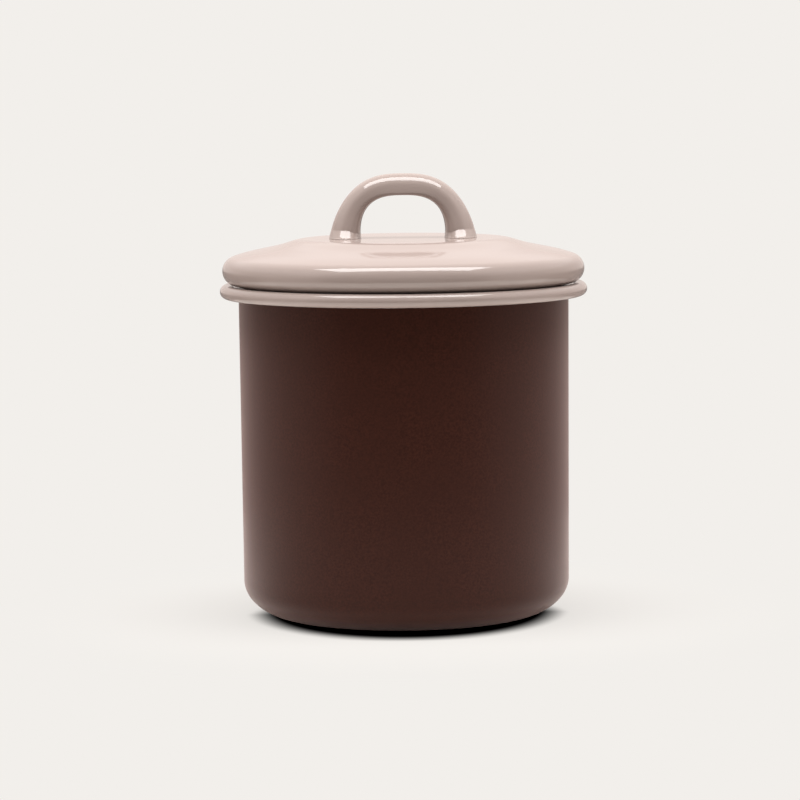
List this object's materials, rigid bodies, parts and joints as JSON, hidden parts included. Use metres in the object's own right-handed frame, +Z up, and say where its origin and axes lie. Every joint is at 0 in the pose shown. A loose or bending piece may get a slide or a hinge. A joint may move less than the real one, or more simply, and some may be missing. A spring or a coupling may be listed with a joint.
{
  "type": "enamel jar",
  "caption": "Round straight-sided enamelled steel jar with a rolled rim and a lift-off domed lid with a bow handle.",
  "frame": {"origin": "middle of the standing ring under the base, on the surface that the jar stands on", "axes": "+Z up along the jar's axis; the handle's bow spans X and the pictured front faces -Y"},
  "size_m": [0.1558, 0.1558, 0.1881],
  "materials": {
    "matte_brown_enamel": "matte dark brown vitreous enamel with a very fine grain",
    "gloss_beige_enamel": "glossy pinkish beige vitreous enamel",
    "lining_enamel": "glossy pinkish beige vitreous enamel, inside of the jar"
  },
  "bodies": {
    "jar": {"jar_shell": "matte_brown_enamel", "rim_bead": "gloss_beige_enamel", "jar_lining": "lining_enamel"},
    "lid": {"lid_shell": "gloss_beige_enamel", "lid_skirt": "gloss_beige_enamel", "lid_handle": "gloss_beige_enamel", "handle_weld_left": "gloss_beige_enamel", "handle_weld_right": "gloss_beige_enamel"}
  },
  "joints": [
    {"name": "lid_lift", "type": "slide", "parent": "jar", "child": "lid", "axis": [0, 0, 1], "range_m": [0, 0.16]}
  ]
}
